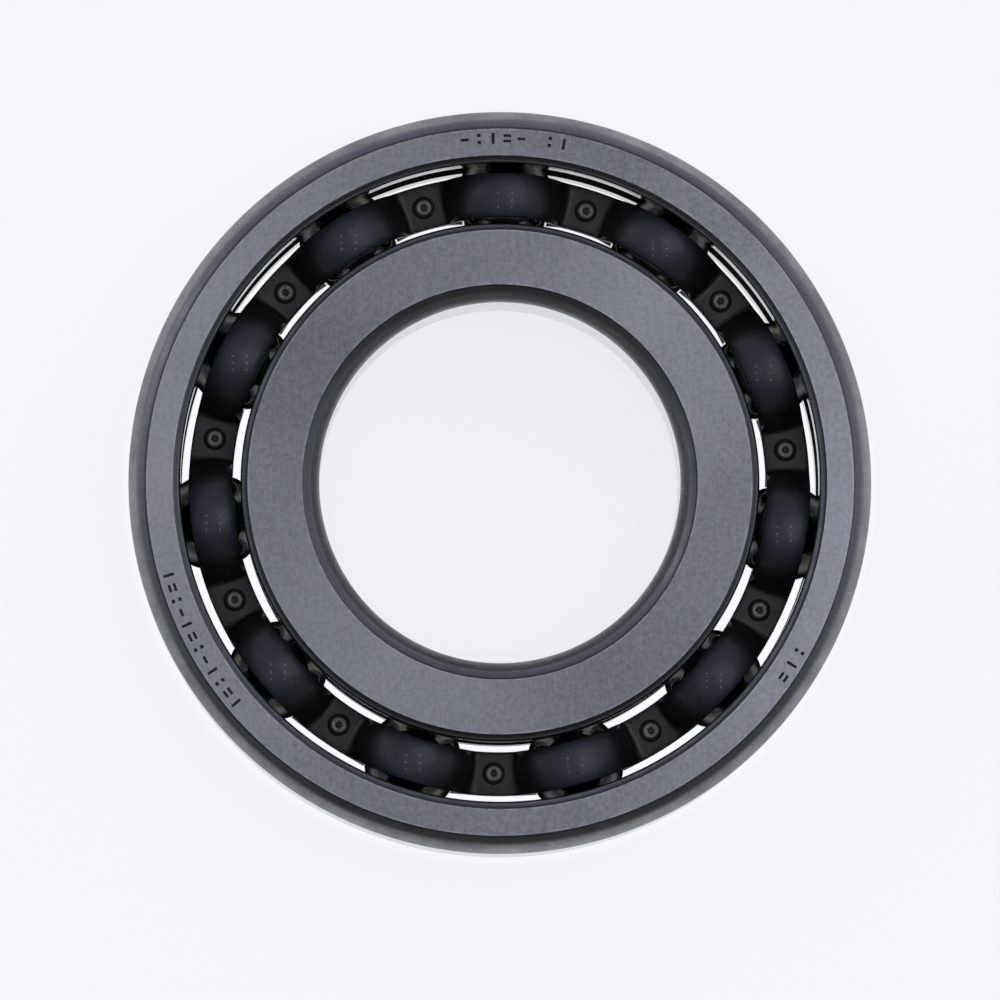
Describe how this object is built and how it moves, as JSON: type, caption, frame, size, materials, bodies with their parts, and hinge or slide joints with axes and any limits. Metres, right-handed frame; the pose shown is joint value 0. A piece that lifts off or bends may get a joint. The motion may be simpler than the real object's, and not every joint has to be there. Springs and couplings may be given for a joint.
{
  "type": "deep groove ball bearing",
  "caption": "Open deep groove ball bearing: inner and outer rings, a row of balls, and a riveted pressed steel ribbon cage.",
  "frame": {"origin": "centre of the bearing, on its axis and midway between its side faces", "axes": "+Z along the bearing's axis; +X and +Y lie in the middle plane. The bearing lies flat on a side face."},
  "size_m": [0.072, 0.072, 0.017],
  "materials": {
    "ring_steel": "ground",
    "ball_steel": "polished",
    "cage_steel": "dark phosphated",
    "rivet_steel": "dark"
  },
  "bodies": {
    "outer_ring": {"outer_ring": "ring_steel"},
    "inner_ring": {"inner_ring": "ring_steel"},
    "cage": {"cage_upper_half": "cage_steel", "cage_lower_half": "cage_steel", "rivet_01": "rivet_steel", "rivet_02": "rivet_steel", "rivet_03": "rivet_steel", "rivet_04": "rivet_steel", "rivet_05": "rivet_steel", "rivet_06": "rivet_steel", "rivet_07": "rivet_steel", "rivet_08": "rivet_steel", "rivet_09": "rivet_steel", "rivet_10": "rivet_steel", "rivet_11": "rivet_steel"},
    "ball_01": {"ball_01": "ball_steel"},
    "ball_02": {"ball_02": "ball_steel"},
    "ball_03": {"ball_03": "ball_steel"},
    "ball_04": {"ball_04": "ball_steel"},
    "ball_05": {"ball_05": "ball_steel"},
    "ball_06": {"ball_06": "ball_steel"},
    "ball_07": {"ball_07": "ball_steel"},
    "ball_08": {"ball_08": "ball_steel"},
    "ball_09": {"ball_09": "ball_steel"},
    "ball_10": {"ball_10": "ball_steel"},
    "ball_11": {"ball_11": "ball_steel"}
  },
  "joints": [
    {"name": "inner_ring_spin", "type": "hinge", "parent": "outer_ring", "child": "inner_ring", "pos_m": [0, 0, 0], "axis": [0, 0, 1], "continuous": true},
    {"name": "cage_orbit", "type": "hinge", "parent": "outer_ring", "child": "cage", "pos_m": [0, 0, 0], "axis": [0, 0, 1], "continuous": true},
    {"name": "ball_01_spin", "type": "hinge", "parent": "cage", "child": "ball_01", "pos_m": [0.00054, 0.02804, 0], "axis": [0, 0, 1], "continuous": true},
    {"name": "ball_02_spin", "type": "hinge", "parent": "cage", "child": "ball_02", "pos_m": [0.01561, 0.0233, 0], "axis": [0, 0, 1], "continuous": true},
    {"name": "ball_03_spin", "type": "hinge", "parent": "cage", "child": "ball_03", "pos_m": [0.02573, 0.01116, 0], "axis": [0, 0, 1], "continuous": true},
    {"name": "ball_04_spin", "type": "hinge", "parent": "cage", "child": "ball_04", "pos_m": [0.02768, -0.00452, 0], "axis": [0, 0, 1], "continuous": true},
    {"name": "ball_05_spin", "type": "hinge", "parent": "cage", "child": "ball_05", "pos_m": [0.02084, -0.01877, 0], "axis": [0, 0, 1], "continuous": true},
    {"name": "ball_06_spin", "type": "hinge", "parent": "cage", "child": "ball_06", "pos_m": [0.00738, -0.02706, 0], "axis": [0, 0, 1], "continuous": true},
    {"name": "ball_07_spin", "type": "hinge", "parent": "cage", "child": "ball_07", "pos_m": [-0.00842, -0.02675, 0], "axis": [0, 0, 1], "continuous": true},
    {"name": "ball_08_spin", "type": "hinge", "parent": "cage", "child": "ball_08", "pos_m": [-0.02154, -0.01796, 0], "axis": [0, 0, 1], "continuous": true},
    {"name": "ball_09_spin", "type": "hinge", "parent": "cage", "child": "ball_09", "pos_m": [-0.02783, -0.00346, 0], "axis": [0, 0, 1], "continuous": true},
    {"name": "ball_10_spin", "type": "hinge", "parent": "cage", "child": "ball_10", "pos_m": [-0.02528, 0.01214, 0], "axis": [0, 0, 1], "continuous": true},
    {"name": "ball_11_spin", "type": "hinge", "parent": "cage", "child": "ball_11", "pos_m": [-0.01471, 0.02388, 0], "axis": [0, 0, 1], "continuous": true}
  ],
  "couplings": [
    {"joint": "cage_orbit", "follows": "inner_ring_spin", "ratio": 0.41509},
    {"joint": "ball_01_spin", "follows": "inner_ring_spin", "ratio": -2.8594},
    {"joint": "ball_02_spin", "follows": "inner_ring_spin", "ratio": -2.8594},
    {"joint": "ball_03_spin", "follows": "inner_ring_spin", "ratio": -2.8594},
    {"joint": "ball_04_spin", "follows": "inner_ring_spin", "ratio": -2.8594},
    {"joint": "ball_05_spin", "follows": "inner_ring_spin", "ratio": -2.8594},
    {"joint": "ball_06_spin", "follows": "inner_ring_spin", "ratio": -2.8594},
    {"joint": "ball_07_spin", "follows": "inner_ring_spin", "ratio": -2.8594},
    {"joint": "ball_08_spin", "follows": "inner_ring_spin", "ratio": -2.8594},
    {"joint": "ball_09_spin", "follows": "inner_ring_spin", "ratio": -2.8594},
    {"joint": "ball_10_spin", "follows": "inner_ring_spin", "ratio": -2.8594},
    {"joint": "ball_11_spin", "follows": "inner_ring_spin", "ratio": -2.8594}
  ]
}
